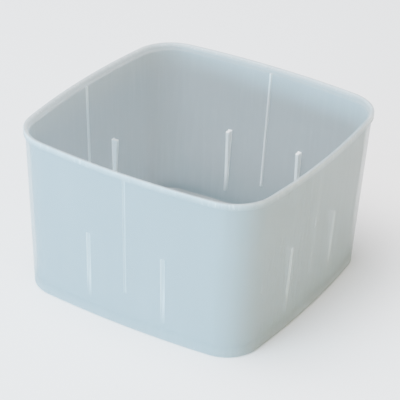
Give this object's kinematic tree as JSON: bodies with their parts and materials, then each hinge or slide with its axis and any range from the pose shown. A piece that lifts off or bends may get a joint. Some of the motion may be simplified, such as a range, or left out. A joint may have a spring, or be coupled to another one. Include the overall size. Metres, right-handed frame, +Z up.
{
  "type": "square cheese mould",
  "caption": "Square translucent tub for shaping curd: bowed tapering sides, rounded corners, proud lip, thin guide ribs and short wedge stacking ribs inside, perforated raised floor.",
  "frame": {"origin": "centre of the foot, on the plane that the mould stands on", "axes": "+Z up through the open top, +X and +Y square to two neighbouring sides; the four sides are alike"},
  "size_m": [0.1516, 0.1516, 0.092],
  "materials": {
    "natural_polypropylene": "satin, milky and translucent"
  },
  "bodies": {
    "root": {"back_guide_rib": "natural_polypropylene", "back_left_corner": "natural_polypropylene", "back_left_stacking_rib": "natural_polypropylene", "back_right_corner": "natural_polypropylene", "back_right_stacking_rib": "natural_polypropylene", "back_wall": "natural_polypropylene", "floor_panel": "natural_polypropylene", "foot_ring": "natural_polypropylene", "front_guide_rib": "natural_polypropylene", "front_left_corner": "natural_polypropylene", "front_left_stacking_rib": "natural_polypropylene", "front_right_corner": "natural_polypropylene", "front_right_stacking_rib": "natural_polypropylene", "front_wall": "natural_polypropylene", "left_guide_rib": "natural_polypropylene", "left_left_stacking_rib": "natural_polypropylene", "left_right_stacking_rib": "natural_polypropylene", "left_wall": "natural_polypropylene", "right_guide_rib": "natural_polypropylene", "right_left_stacking_rib": "natural_polypropylene", "right_right_stacking_rib": "natural_polypropylene", "right_wall": "natural_polypropylene", "rim_lip": "natural_polypropylene"}
  },
  "joints": []
}
